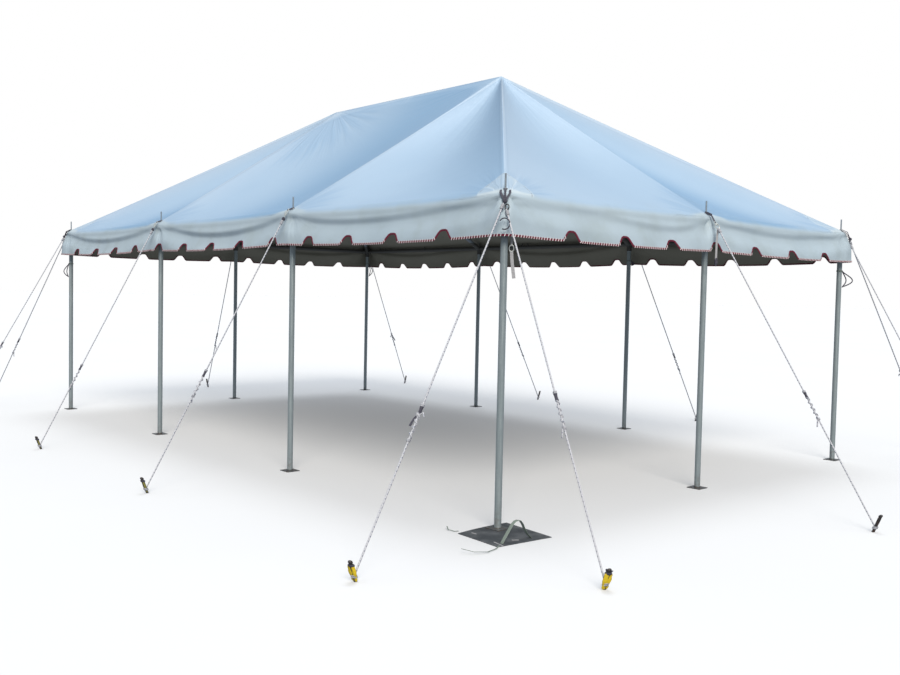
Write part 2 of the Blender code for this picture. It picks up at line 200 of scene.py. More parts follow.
def canopy_finish():
    """Coated cloth: sky blue on the slopes and pale grey-green on the hanging valance."""
    material, tree, shader = start_finish("canopy_vinyl", 0.50)
    drop, tone, seam = (reading(tree, name) for name in ("below_eave", "bay_painted_shading", "crease_gap"))
    pin_reach, peak_turn = reading(tree, "pin_reach"), reading(tree, "peak_turn")
    mottle = object_noise(tree, 0.9, 4.0)
    slope = blend(mottle, (0.285, 0.412, 0.560), (0.362, 0.490, 0.628))
    # Painted shading across each bay: the slope is painted darker blue where the bay's shading
    # reading is positive and paler where it is negative.
    slope = blend(tone.fade(0.0, 1.0), slope, (0.205, 0.350, 0.520))
    slope = blend(tone.fade(-1.0, 0.0, 1.0, 0.0), slope, (0.440, 0.520, 0.620))
    hanging = blend(mottle, (0.380, 0.478, 0.548), (0.448, 0.540, 0.606))
    edge = drop + pin_reach.fade(0.03, 0.30, 0.055, 0.0)
    cloth = blend(edge.fade(-0.022, 0.022), slope, hanging)
    # Noisy blotches of darker grey-green, growing from low on the slope to full strength just below
    # the eave and kept down the valance.
    lower_darkening = object_noise(tree, 5.0, 6.0).fade(0.42, 0.75) * drop.fade(-0.3, 0.25, 0.0, 0.40)
    cloth = blend(lower_darkening, cloth, (0.30, 0.36, 0.36))
    gap = corner_patch_gap(tree)
    on_slope = drop.fade(-0.02, 0.01, 1.0, 0.0)
    patch = gap.fade(-0.006, 0.003, 0.62, 0.0) * on_slope
    cloth = blend(patch, cloth, (0.56, 0.64, 0.68))
    stitched = gap.fade(-0.026, -0.021) * gap.fade(-0.017, -0.012, 1.0, 0.0)
    broken = object_noise(tree, 26.0, 2.0).fade(0.50, 0.56)
    cloth = blend(stitched * broken * on_slope * 0.8, cloth, (0.13, 0.13, 0.17))
    cloth = blend(seam.fade(0.006, 0.016, 0.20, 0.0), cloth, (0.60, 0.69, 0.76))
    thread = seam.fade(0.013, 0.016) * seam.fade(0.016, 0.020, 1.0, 0.0)
    cloth = blend(thread * 0.22, cloth, (0.17, 0.27, 0.42))
    pins = radiating_wrinkles(reading(tree, "pin_turn"), pin_reach, 4.5, 0.14, 0.80)
    peaks = radiating_wrinkles(peak_turn, reading(tree, "peak_reach"), 16.0, 0.35, 1.9)
    creased = (pins * drop.fade(-0.10, 0.05, 0.80, 0.40)
               + peaks * peak_turn.fade(1.4, 2.0, 0.35, 0.9))
    # Painted shade: the cloth is painted darker blue along the wrinkle lines on the slope, standing
    # in for the shade in their folds.
    painted_fold_shade = creased.fade(0.16, 0.42, 0.0, 0.45) * drop.fade(-0.06, 0.0, 1.0, 0.0)
    blend(painted_fold_shade, cloth, (0.215, 0.355, 0.525)).feed(shader, "Base Color")
    soft = object_noise(tree, 6.0, 4.0) * 0.16
    tape = seam.fade(0.019, 0.022, 0.05, 0.0)
    roughen(shader, creased + soft + tape, 0.45, 0.03)
    return material


def lining_finish():
    """The underside of the cloth, dull olive grey."""
    material, tree, shader = start_finish("canopy_lining", 0.7)
    tone = blend(object_noise(tree, 1.4, 4.0), (0.190, 0.180, 0.138), (0.245, 0.235, 0.190))
    tone.feed(shader, "Base Color")
    roughen(shader, object_noise(tree, 7.0, 4.0), 0.25, 0.01)
    return material


def metal_finish(name, dark, light, roughness, rust=0.0, metallic=0.75, above_eave_tones=None):
    """Galvanised or uncoated steel: cloudy spangle, long rub marks and rust near the ground.

    A second pair of tones, when given, colours what stands above the eave; the first pair is then a
    painted shade for what stands under the canopy.
    """
    material, tree, shader = start_finish(name, roughness, metallic)
    spangle = object_noise(tree, 60.0, 3.0)
    rubbed = object_noise(tree, 14.0, 5.0, (6, 6, 0.5))
    tone = blend((spangle + rubbed) * 0.5, dark, light)
    height = object_place(tree).part(2)
    # Above the eave the second pair of tones; below it the first, which for the rails is painted
    # shade.
    if above_eave_tones:
        tone = blend(height.fade(EAVE - 0.012, EAVE), tone, blend(spangle, *above_eave_tones))
    if rust:
        tone = blend(height.fade(0.010, 0.018, 0.85, 0.0), tone, (0.075, 0.080, 0.085))
        stain = height.fade(0.0, 0.22, rust, 0.0) * object_noise(tree, 40.0, 6.0).fade(0.40, 0.62)
        tone = blend(stain, tone, (0.16, 0.085, 0.05))
    tone.feed(shader, "Base Color")
    rubbed.fade(0.3, 0.7, roughness - 0.08, roughness + 0.12).feed(shader, "Roughness")
    roughen(shader, spangle, 0.12, 0.001)
    return material


def braid_finish(name, pale, fleck, pitch):
    """Braided rope: two sets of strands crossing, with flecks where a dark yarn comes up."""
    material, tree, shader = start_finish(name, 0.8)
    unrolled = add_node(tree, "UVMap")
    along, around = unrolled.part(1) / pitch, unrolled.part(0)
    one = ((along + around) * (2 * pi)).work_out("SINE")
    other = ((along - around) * (2 * pi)).work_out("SINE")
    crossing = one.fade(0.1, 0.7) * other.fade(0.1, 0.7)
    blend(crossing * 0.85, pale, fleck).feed(shader, "Base Color")
    roughen(shader, one * other, 0.6, 0.002)
    return material


def webbing_finish(name, dark, light):
    material, tree, shader = start_finish(name, 0.85)
    rib = (add_node(tree, "UVMap").part(1) * WEBBING_RIBS).work_out("SINE")
    share = (rib.fade(-1, 1) + object_noise(tree, 50.0, 5.0)) * 0.5
    blend(share, dark, light).feed(shader, "Base Color")
    roughen(shader, rib, 0.4, 0.0008)
    return material


def plain_cloth_finish(name, dark, light, scale):
    material, tree, shader = start_finish(name, 0.8)
    grain = object_noise(tree, scale, 5.0)
    blend(grain, dark, light).feed(shader, "Base Color")
    roughen(shader, grain, 0.4, 0.001)
    return material


def rubber_finish():
    material, tree, shader = start_finish("mat_rubber", 0.6)
    worn = object_noise(tree, 9.0, 6.0).fade(0.35, 0.7)
    blend(worn, (0.055, 0.063, 0.072), (0.115, 0.125, 0.135)).feed(shader, "Base Color")
    roughen(shader, object_noise(tree, 130.0, 3.0), 0.5, 0.002)
    return material


FINISH = {
    "canopy": canopy_finish(),
    "lining": lining_finish(),
    "tube": metal_finish("galvanised_tube", (0.245, 0.300, 0.315), (0.385, 0.440, 0.455), 0.36,
                         rust=0.35, metallic=0.40),
    "stake": metal_finish("stake_steel", (0.035, 0.035, 0.038), (0.11, 0.11, 0.115), 0.5, rust=0.5),
    "ring": metal_finish("ring_steel", (0.14, 0.15, 0.16), (0.42, 0.44, 0.46), 0.35),
    "pale_steel": metal_finish("zinc_plated_steel", (0.33, 0.36, 0.36), (0.60, 0.63, 0.62), 0.40,
                               metallic=0.4),
    # The rail steel is painted near black below the eave as shade for its place under the canopy;
    # above the eave its pins keep a lighter blue grey.
    "rail": metal_finish("rail_steel_painted_shade", (0.050, 0.050, 0.048), (0.12, 0.12, 0.115), 0.55,
                         metallic=0.3, above_eave_tones=((0.15, 0.18, 0.21), (0.32, 0.37, 0.42))),
    "rope": braid_finish("guy_braid", (0.52, 0.53, 0.57), (0.10, 0.12, 0.20), 0.028),
    "strap": webbing_finish("dark_webbing", (0.030, 0.028, 0.045), (0.10, 0.10, 0.13)),
    "sling": webbing_finish("yellow_webbing", (0.62, 0.42, 0.008), (0.92, 0.70, 0.03)),
    "olive_sling": webbing_finish("olive_webbing", (0.17, 0.16, 0.04), (0.36, 0.33, 0.09)),
    "grey_strap": webbing_finish("grey_webbing", (0.13, 0.17, 0.15), (0.28, 0.33, 0.29)),
    "pale_strap": webbing_finish("pale_webbing", (0.30, 0.30, 0.31), (0.50, 0.50, 0.52)),
    "binding": plain_cloth_finish("red_binding", (0.10, 0.005, 0.020), (0.17, 0.010, 0.036), 90.0),
    "thread": plain_cloth_finish("pale_thread", (0.62, 0.54, 0.56), (0.86, 0.80, 0.81), 200.0),
    "mat": rubber_finish(),
}


# Making and placing pieces

SHARP = radians(40)
ROPE_SIDES = 10
THIN_SIDES = 6
ROPE_STEP = 0.03
at = Matrix.Translation


def deselect_all():
    bpy.ops.object.select_all(action="DESELECT")


@contextmanager
def whole_mesh():
    """Edit mode on the piece at hand, with all of its mesh selected."""
    bpy.ops.object.mode_set(mode="EDIT")
    bpy.ops.mesh.select_all(action="SELECT")
    yield
    bpy.ops.object.mode_set(mode="OBJECT")


def link(name, mesh):
    piece = bpy.data.objects.new(name, mesh)
    bpy.context.scene.collection.objects.link(piece)
    return piece


def settle(piece, replaced=(), smooth=True):
    """The piece rides with the tent, hides the parts that it stands for and, unless told not to, is
    shaded smooth by angle.
    """
    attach(piece, "root")
    if replaced:
        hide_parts(*replaced)
    if smooth:
        deselect_all()
        piece.select_set(True)
        bpy.context.view_layer.objects.active = piece
        bpy.ops.object.shade_smooth_by_angle(angle=SHARP)
    return piece


def take_primitive(name, finish):
    """Names the primitive that was just added and gives it its finish."""
    piece = bpy.context.object
    piece.name = name
    piece.data.name = name
    piece.data.materials.append(FINISH[finish])
    bpy.ops.object.transform_apply(location=True, rotation=True, scale=True)
    return piece


def take_faces(name, bm, finish):
    """A piece from the faces that were built, with their fronts outwards."""
    bmesh.ops.recalc_face_normals(bm, faces=bm.faces[:])
    mesh = bpy.data.meshes.new(name)
    bm.to_mesh(mesh)
    bm.free()
    mesh.materials.append(FINISH[finish])
    return link(name, mesh)


def apply_modifier(piece, kind, **settings):
    step = piece.modifiers.new(kind.lower(), kind)
    for key, value in settings.items():
        setattr(step, key, value)
    bpy.ops.object.modifier_apply(modifier=step.name)


def copy_of(part, name, place):
    """A copy with its own mesh, put in its place there and not by its object."""
    mesh = PARTS[part].data.copy()
    mesh.transform(place)
    return link(name, mesh)


def join(name, pieces):
    deselect_all()
    for piece in pieces:
        piece.select_set(True)
    bpy.context.view_layer.objects.active = pieces[0]
    bpy.ops.object.join()
    pieces[0].name = name
    return pieces[0]


def along_axis(start, end):
    """A place at start, turned so that its Z runs towards end."""
    return at(start) @ (end - start).to_track_quat("Z", "Y").to_matrix().to_4x4()


def turned(degrees):
    return Matrix.Rotation(radians(degrees), 4, "Z")


def sized(factor):
    return Matrix.Scale(factor, 4)


def sweep(name, path, section, finish, up=(0, 0, 1), closed=False, sizes=None):
    """One section carried along a path, with u round it and v along it in metres."""
    points = [Vector(point) for point in path]
    count = len(points)
    bm = bmesh.new()
    uv = bm.loops.layers.uv.new("UVMap")
    over_it, travelled, rings, marks = Vector(up), 0.0, [], []
    for step, point in enumerate(points):
        before = points[step - 1] if step or closed else point
        after = points[(step + 1) % count] if step < count - 1 or closed else point
        tangent = (after - before).normalized()
        over_it = (over_it - tangent * over_it.dot(tangent)).normalized()
        side = tangent.cross(over_it)
        travelled += (point - points[step - 1]).length if step else 0.0
        marks.append(travelled)
        size = sizes[step] if sizes else 1.0
        rings.append([bm.verts.new(point + (side * a + over_it * b) * size) for a, b in section])
    for step in range(count if closed else count - 1):
        here, there = rings[step], rings[(step + 1) % count]
        start_mark = marks[step]
        end_mark = start_mark + (points[(step + 1) % count] - points[step]).length
        for j in range(len(section)):
            k = (j + 1) % len(section)
            face = bm.faces.new((here[j], here[k], there[k], there[j]))
            corners = ((j, start_mark), (j + 1, start_mark), (j + 1, end_mark), (j, end_mark))
            for loop, (share, mark) in zip(face.loops, corners):
                loop[uv].uv = (share / len(section), mark)
    if not closed:
        bm.faces.new(rings[0])
        bm.faces.new(rings[-1])
    return take_faces(name, bm, finish)


def round_section(radius, sides=ROPE_SIDES):
    turns = [2 * pi * k / sides for k in range(sides)]
    return [(radius * cos(turn), radius * sin(turn)) for turn in turns]


def strap_section(width, thickness):
    """A flat strap with soft edges; its width runs along the sweep's up direction."""
    w, t = width / 2, thickness / 2
    return [(t, -w + t), (t, w - t), (0, w), (-t, w - t), (-t, -w + t), (0, -w)]


def filled_line(start, end, step=ROPE_STEP):
    count = max(1, round((end - start).length / step))
    return [start.lerp(end, k / count) for k in range(count + 1)]


# Canopy, in metres

CLOTH = 0.0016
LONG_SAG = 0.055
SHORT_SAG = 0.035
RAIL_SAG_SHARE = 0.40
CREASE_SAG = 0.010
CORNER_ROUND = 0.03
ROLL_BULGE = 0.012
ROLL_DROP = 0.042
EDGE_BLEND = 0.07
HEM_FLARE = 0.055
FLARE_REACH = 0.16
TUCK_ENDS = 0.014
TUCK_REACH = 0.062
VALANCE_BOTTOM = 1.925
VALANCE_BOTTOM_SAG = 0.45
NOTCH_HEIGHT = 0.065
NOTCH_HALF = 0.095
NOTCH_FLAT_HALF = 0.018
NOTCH_STEPS = 6
COLUMN_STEP = 0.048
ROOF_ROWS = 24
ROLL_ROWS = 5
VALANCE_ROWS = 22
SEED = 7

# The fans of folds at the pins: each fold's angle and height, how far it may be off its angle,
# and its width, in degrees and metres
HANGING_FAN = ((30, 0.010), (50, -0.017), (76, 0.020))
HANGING_FAN_OFF = 9
HANGING_FAN_WIDTH = 9.5
ROOF_FAN = ((16, 0.008), (34, -0.008), (52, 0.008))
ROOF_FAN_OFF = 10
ROOF_FAN_WIDTH = 7

# For each bay: how deep the slope bellies, how deep the valance's fold hangs, the share of
# the bay where it hangs lowest, how far it tucks in under the fold, how strongly painted
# shading runs across the slope from painted light at one side to painted shade at the other,
# and how much painted shade it has in the middle
FRONT_BAYS = ((0.20, 0.12, 0.50, 0.040, 1.1, 0.55), (0.20, 0.13, 0.55, 0.044, 0.9, 0.50),
              (0.17, 0.095, 0.38, 0.034, 0.45, 0.20))
RIGHT_BAYS = ((0.11, 0.120, 0.74, 0.022, 0.25, -0.10), (0.20, 0.078, 0.47, 0.034, -1.3, 0.80))
BACK_BAYS = ((0.12, 0.09, 0.45, 0.03, 0.5, 0.1), (0.13, 0.11, 0.50, 0.03, 0.4, 0.1),
             (0.12, 0.09, 0.60, 0.03, 0.5, 0.1))
LEFT_BAYS = ((0.12, 0.10, 0.40, 0.03, 0.4, 0.1), (0.12, 0.09, 0.60, 0.03, -0.4, 0.1))

# Each side: way along it, way out of it, its half length and distance, inner legs, sag,
# bays, number of notches and the distance between them
LONG_POSTS = (-LONG_POST, LONG_POST)
SIDES = (
    ((1, 0), (0, -1), EDGE_X, EDGE_Y, LONG_POSTS, LONG_SAG, FRONT_BAYS, 13, 0.554),
    ((0, 1), (1, 0), EDGE_Y, EDGE_X, (0.0,), SHORT_SAG, RIGHT_BAYS, 7, 0.586),
    ((-1, 0), (0, 1), EDGE_X, EDGE_Y, LONG_POSTS, LONG_SAG, BACK_BAYS, 15, 0.510),
    ((0, -1), (-1, 0), EDGE_Y, EDGE_X, (0.0,), SHORT_SAG, LEFT_BAYS, 8, 0.520),
)


def notch_rise(along, centres):
    """Height of the scalloped edge above the valance's lowest line."""
    off = np.min(np.abs(np.subtract.outer(along, centres)), axis=1)
    share = np.clip((off - NOTCH_FLAT_HALF) / (NOTCH_HALF - NOTCH_FLAT_HALF), 0, 1)
    return NOTCH_HEIGHT * (0.5 + 0.5 * np.cos(pi * share))


def column_places(edge, posts, centres):
    """Places along one eave, closer at the notches and corners than between them."""
    marks = {-edge, edge, *posts}
    for centre in centres:
        steps = range(-NOTCH_STEPS, NOTCH_STEPS + 1)
        marks |= {centre + NOTCH_HALF * k / NOTCH_STEPS for k in steps}
    for k in (1, 2, 3):
        marks |= {edge - CORNER_ROUND * k / 3, CORNER_ROUND * k / 3 - edge}
    marks = sorted(marks)
    places = []
    for low, high in zip(marks, marks[1:]):
        if high - low > CORNER_ROUND / 10:
            count = max(1, round((high - low) / COLUMN_STEP))
            places += [low + (high - low) * k / count for k in range(count)]
    return np.array(places)


def eave_columns():
    """Everything about the columns of the cloth, one entry for each, round all four sides."""
    sides = []
    run, pin = 0.0, 0
    for travel, outward, edge, other, posts, sag, bays, notches, pitch in SIDES:
        centres = (np.arange(notches) - (notches - 1) / 2) * pitch
        along = column_places(edge, posts, centres)
        stops = np.array([-edge, *posts, edge])
        pins = np.array([OVERHANG - edge, *posts, edge - OVERHANG])
        bay = np.clip(np.searchsorted(stops, along, side="right") - 1, 0, len(stops) - 2)
        share = (along - stops[bay]) / (stops[bay + 1] - stops[bay])
        corner = np.clip(1 - (edge - np.abs(along)) / CORNER_ROUND, 0, 1) * pi / 4
        lean = np.sin(corner) * np.sign(along)
        nx = np.cos(corner) * outward[0] + lean * travel[0]
        ny = np.cos(corner) * outward[1] + lean * travel[1]
        straight = np.clip(along, CORNER_ROUND - edge, edge - CORNER_ROUND)
        if outward[0]:
            top_x = np.full(len(along), outward[0] * RIDGE_HALF)
        else:
            top_x = RIDGE_HALF * np.clip(travel[0] * along / LONG_POST, -1, 1)
        belly, fold, lowest, tuck, slant, depth = np.array(bays)[bay].T
        sides.append({
            "x": travel[0] * straight + outward[0] * (other - CORNER_ROUND) + CORNER_ROUND * nx,
            "y": travel[1] * straight + outward[1] * (other - CORNER_ROUND) + CORNER_ROUND * ny,
            "nx": nx, "ny": ny, "top_x": top_x,
            "share": share, "across": 4 * share * (1 - share), "sag": np.full(len(along), sag),
            "belly": belly, "fold": fold, "lowest": lowest, "tuck": tuck,
            # Painted shading across the bay: painted light at one side, painted shade at the other,
            # plus the bay's middle shade.
            "tone": slant * (2 * share - 1) + depth,
            "left": along - pins[bay], "right": pins[bay + 1] - along, "pin": pin + bay,
            "rise": notch_rise(along, centres), "run": run + along + edge,
        })
        run += 2 * edge
        pin += len(posts) + 1
    return {key: np.concatenate([side[key] for side in sides]) for key in sides[0]}


def smooth(value):
    value = np.clip(value, 0, 1)
    return value * value * (3 - 2 * value)


def pin_gap(col):
    return np.minimum(np.abs(col["left"]), np.abs(col["right"]))


def roll_drop(col):
    """Height of the rounded edge, which is tighter at the pins than between them."""
    return ROLL_DROP * (0.40 + 0.60 * smooth(pin_gap(col) / 0.25))


def pins_beside(col, away, dice):
    """Random shares, distance and angle for the pins on both sides of every column."""
    for gap, index in (("left", 0), ("right", 1)):
        throws = dice[(col["pin"] + index) % len(dice)]
        turn = np.arctan2(np.maximum(away, 0), np.abs(col[gap]) + 1e-6)
        yield throws, np.hypot(col[gap], away), turn


def fold_line(turn, angle, off, throw, width):
    """1 along a fold that runs out from a pin, fading beside it."""
    tilt = radians(angle) + radians(off) * (throw - 0.5)
    return np.exp(-((turn - tilt) / radians(width)) ** 2)


def hanging_folds(col, depth, dice):
    """How far the hanging cloth stands out from its flat, with a swag from pin to pin."""
    skewed = col["share"] ** (np.log(0.5) / np.log(col["lowest"]))
    hump = (4 * skewed * (1 - skewed)) ** 0.8
    gap = pin_gap(col)
    swag = 0.006 + 0.024 * smooth(gap / 0.30) + col["fold"] * hump
    tuck = (TUCK_ENDS + (col["tuck"] - TUCK_ENDS) * hump) * smooth(gap / 0.05)
    out = ROLL_BULGE * col["across"] * smooth(depth / swag)
    out = out - tuck * smooth((depth - swag + TUCK_REACH) / TUCK_REACH)
    out = out + 1.1 * tuck * smooth((depth - swag) / 0.16)
    for throws, reach, turn in pins_beside(col, depth, dice):
        strength = smooth(reach / 0.06) * np.exp(-reach / 0.30)
        for k, (angle, height) in enumerate(HANGING_FAN):
            size = height * (0.6 + 0.8 * throws[:, k + 4])
            line = fold_line(turn, angle, HANGING_FAN_OFF, throws[:, k], HANGING_FAN_WIDTH)
            out = out + size * line * strength
    wave = np.sin(2 * pi * col["run"] / 0.74 + 1.3) + 0.6 * np.sin(2 * pi * col["run"] / 0.43)
    out = out + 0.0045 * wave * smooth(depth / 0.24)
    below = np.maximum(depth - roll_drop(col), 0)
    even = below / (CORNER_EDGE - VALANCE_BOTTOM)
    early = smooth(below / np.maximum(swag, FLARE_REACH))
    return out + HEM_FLARE * (even + early) / 2


def roof_folds(col, slant, dice):
    """Broad tension folds that run up the slope from every pin."""
    lift = 0
    for throws, reach, turn in pins_beside(col, slant, dice):
        strength = smooth(reach / 0.10) * np.exp(-reach / 0.42)
        for k, (angle, height) in enumerate(ROOF_FAN):
            line = fold_line(turn, angle, ROOF_FAN_OFF, throws[:, k + 8], ROOF_FAN_WIDTH)
            lift = lift + height * line * strength
    return lift


READINGS = ("below_eave", "pin_reach", "pin_turn", "peak_turn", "peak_reach", "crease_gap",
            "bay_painted_shading")


def canopy_points(col):
    """Cloth places row by row from the ridge down to the scalloped edge, and their readings."""
    dice = np.random.default_rng(SEED).random((10, 12))
    rail = HALF_WIDTH / EDGE_Y
    slope_length = np.hypot(col["x"] - col["top_x"], col["y"])
    rows, readings = [], []

    def keep(x, y, z, drop):
        rows.append(np.stack([x, y, z], axis=1))
        side = np.where(np.abs(col["left"]) < np.abs(col["right"]), col["left"], -col["right"])
        shrink = np.clip(1 + np.minimum(drop, 0) / slope_length, 0, 1)
        peak_x, peak_y = np.abs(x) - RIDGE_HALF, np.abs(y)
        readings.append(np.stack([
            drop,
            np.hypot(side * np.maximum(shrink, 0.2), drop),
            np.arctan2(-drop, side),
            np.arctan2(peak_y, peak_x),
            np.hypot(peak_x, peak_y),
            pin_gap(col) * shrink + np.where(drop > 0.02, 1.0, 0.0),
            col["tone"]], axis=1))

    for step in range(ROOF_ROWS + 1):
        down = rail * (step / ROOF_ROWS)
        x = col["top_x"] * (1 - down) + col["x"] * down
        bow = (4 * step / ROOF_ROWS * (1 - step / ROOF_ROWS)) ** 0.8
        z = PEAK + (CORNER_EDGE - PEAK) * down - (col["belly"] * col["across"] + CREASE_SAG) * bow
        z = z - col["sag"] * RAIL_SAG_SHARE * col["across"] * down ** 2
        slant = slope_length * (1 - down)
        z = z + roof_folds(col, slant, dice) * min(1, 8 * (rail - down)) * min(1, 4 * down)
        keep(x, col["y"] * down, z, -slant)
    last = rows[-1]
    bulge = ROLL_BULGE * col["across"]
    fall = (PEAK - CORNER_EDGE) / EDGE_Y
    turn_z = last[:, 2] - fall * (OVERHANG + bulge)
    turn = np.stack([col["x"] + col["nx"] * bulge, col["y"] + col["ny"] * bulge, turn_z], axis=1)
    end = turn - np.outer(roll_drop(col), (0, 0, 1))
    for step in range(1, ROLL_ROWS + 1):
        t = step / ROLL_ROWS
        place = last * (1 - t) ** 2 + turn * 2 * t * (1 - t) + end * t ** 2
        keep(*place.T, np.full(len(bulge), (t - 0.5) * EDGE_BLEND))
    bottom = VALANCE_BOTTOM - VALANCE_BOTTOM_SAG * col["sag"] * col["across"] + col["rise"]
    start_out = hanging_folds(col, turn_z - end[:, 2], dice)
    for step in range(1, VALANCE_ROWS + 1):
        t = step / VALANCE_ROWS
        z = end[:, 2] * (1 - t) + bottom * t
        out = hanging_folds(col, turn_z - z, dice)
        out = out - start_out * (1 - smooth((end[:, 2] - z) / 0.05))
        x, y = end[:, 0] + col["nx"] * out, end[:, 1] + col["ny"] * out
        keep(x, y, z, EDGE_BLEND / 2 + end[:, 2] - z)
    return np.array(rows), np.array(readings)


def make_canopy():
    """One sheet from the ridge to the scalloped edge, closed round all four sides."""
    col = eave_columns()
    rows, readings = canopy_points(col)
    count = rows.shape[1]
    deselect_all()
    bpy.ops.mesh.primitive_grid_add(x_subdivisions=count, y_subdivisions=len(rows) - 1, size=1)
    sheet = bpy.context.object
    sheet.name = "canopy"
    wrapped = np.concatenate([rows, rows[:, :1]], axis=1)
    marks = np.concatenate([readings, readings[:, :1]], axis=1)
    mesh = sheet.data
    flat = np.array([vert.co for vert in mesh.vertices])
    across = np.rint((flat[:, 0] + 0.5) * count).astype(int)
    down = np.rint((0.5 - flat[:, 1]) * (len(rows) - 1)).astype(int)
    mesh.vertices.foreach_set("co", wrapped[down, across].astype(np.float32).ravel())
    for index, name in enumerate(READINGS):
        values = mesh.attributes.new(name, "FLOAT", "POINT").data
        values.foreach_set("value", marks[down, across, index].astype(np.float32))
    with whole_mesh():
        bpy.ops.mesh.remove_doubles(threshold=0.0001)
        bpy.ops.mesh.normals_make_consistent(inside=False)
    mesh.materials.append(FINISH["canopy"])
    mesh.materials.append(FINISH["lining"])
    apply_modifier(sheet, "SOLIDIFY", thickness=CLOTH, offset=-1, material_offset=1,
                   material_offset_rim=1)
    bpy.ops.object.shade_smooth()
    return sheet, col, rows


# Tape and stitches along the scalloped edge

BINDING_HEIGHT = 0.012
BINDING_STAND = 0.0022
STITCH_PITCH = 0.025
STITCH_LOW = -0.003
STITCH_HEIGHT = 0.0155
STITCH_WIDTH = 0.0062
STITCH_SLANT = 0.006
STITCH_STAND = 0.0018
STITCH_FACES = ((1, 3, 7, 5), (0, 1, 5, 4), (2, 6, 7, 3), (0, 2, 3, 1), (4, 5, 7, 6), (0, 4, 6, 2))


def edge_frame(rows, col):
    """The scalloped edge as points with their outward, in-plane upward and onward directions."""
    line = rows[-1]
    ahead = np.roll(line, -1, axis=0) - np.roll(line, 1, axis=0)
    ahead /= np.linalg.norm(ahead, axis=1)[:, None]
    outward = np.stack([col["nx"], col["ny"], np.zeros(len(line))], axis=1)
    upward = np.cross(outward, ahead)
    upward /= np.linalg.norm(upward, axis=1)[:, None]
    return line, outward, np.where((upward[:, 2] < 0)[:, None], -upward, upward), ahead


def make_binding(rows, col):
    """A folded tape over the whole scalloped edge."""
    inside = -BINDING_STAND - CLOTH
    section = ((BINDING_STAND, BINDING_HEIGHT), (BINDING_STAND, 0.0), (0.0, -BINDING_STAND),
               (inside, 0.0), (inside, BINDING_HEIGHT))
    bm = bmesh.new()
    rings = []
    for place, out, up, _ in zip(*edge_frame(rows, col)):
        rings.append([bm.verts.new(place + out * a + up * b) for a, b in section])
    for here, there in zip(rings, rings[1:] + rings[:1]):
        for j in range(len(section)):
            k = (j + 1) % len(section)
            bm.faces.new((here[j], here[k], there[k], there[j]))
    return take_faces("scallop_binding", bm, "binding")


def make_whipstitch(rows, col):
    """Slanting stitches over the binding, all round the edge but not in the notches."""
    line, outward, upward, ahead = edge_frame(rows, col)
    steps = np.linalg.norm(np.roll(line, -1, axis=0) - line, axis=1)
    travelled = np.concatenate([[0], np.cumsum(steps)])
    count = int(travelled[-1] / STITCH_PITCH)
    bm = bmesh.new()
    for k in range(count):
        mark = travelled[-1] * k / count
        index = int(np.searchsorted(travelled, mark, side="right")) - 1
        if col["rise"][index] > NOTCH_HEIGHT * 0.12:
            continue
        share = (mark - travelled[index]) / steps[index]
        place = line[index] * (1 - share) + line[(index + 1) % len(line)] * share
        out, up, on = outward[index], upward[index], ahead[index]
        corners = []
        for side in (-1, 1):
            for height, slide in ((STITCH_LOW, 0.0), (STITCH_HEIGHT, STITCH_SLANT)):
                foot = place + up * height + on * (side * STITCH_WIDTH / 2 + slide)
                corners.append(bm.verts.new(foot + out * BINDING_STAND))
                corners.append(bm.verts.new(foot + out * (BINDING_STAND + STITCH_STAND)))
        for face in STITCH_FACES:
            bm.faces.new([corners[corner] for corner in face])
    return take_faces("whipstitch", bm, "thread")


# Small parts that repeat, each made once at the origin with its axis along Z

ROUND_SIDES = 20
STAKE_RADIUS = 0.010
STAKE_HEAD_RADIUS = 0.0135
STAKE_HEAD_THICKNESS = 0.012
COLLAR = (0.80, 0.88)
RUNNER_SIZE = (0.022, 0.016, 0.048)
RUNNER_WAIST = 0.012

# Rings and links: finish, radius, thickness and, for an upright link, its stretch along Z
RINGS = {
    "grommet": ("ring", 0.0125, 0.0032),
    "ring": ("pale_steel", 0.0125, 0.0028, 1.5),
    "link": ("pale_steel", 0.0100, 0.0034, 2.9),
    "shackle": ("stake", 0.0120, 0.0034, 1.35),
    "wrap": ("rope", 0.0085, 0.0045),
    "stake_wrap": ("rope", 0.0140, 0.0048),
    "leg_wrap": ("grey_strap", 0.0250, 0.0032),
    "dark_wrap": ("strap", 0.0150, 0.0050),
}


def make_ring(name, finish, radius, thickness, stretch=None):
    bpy.ops.mesh.primitive_torus_add(major_radius=radius, minor_radius=thickness,
                                     major_segments=24, minor_segments=8,
                                     rotation=(pi / 2 if stretch else 0, 0, 0))
    if stretch:
        with whole_mesh():
            bpy.ops.transform.resize(value=(1, 1, stretch))
    return take_primitive(name, finish)


def make_knot(name, finish, size):
    """Three turns of cord pulled tight round each other."""
    turns = []
    for k, tilt in enumerate(((0.3, 0.2, 0.0), (1.5, 0.4, 0.5), (0.9, 1.4, 1.1))):
        bpy.ops.mesh.primitive_torus_add(major_radius=size * (0.62 + 0.06 * k),
                                         minor_radius=size * 0.40, major_segments=16,
                                         minor_segments=8, rotation=tilt)
        turns.append(take_primitive("turn", finish))
    return join(name, turns)


def thicken(piece, low, high, factor):
    """Changes the girth of what stands between two heights."""
    for vert in piece.data.vertices:
        if low < vert.co.z < high:
            vert.co.x *= factor
            vert.co.y *= factor


def make_runner():
    """A block that the rope runs through, waisted in the middle."""
    bpy.ops.mesh.primitive_cube_add(size=1.0)
    runner = take_primitive("runner_pattern", "strap")
    with whole_mesh():
        bpy.ops.transform.resize(value=RUNNER_SIZE)
        bpy.ops.mesh.subdivide(number_cuts=2)
    thicken(runner, -RUNNER_WAIST, RUNNER_WAIST, 0.8)
    apply_modifier(runner, "BEVEL", width=0.003, segments=2)
    return runner


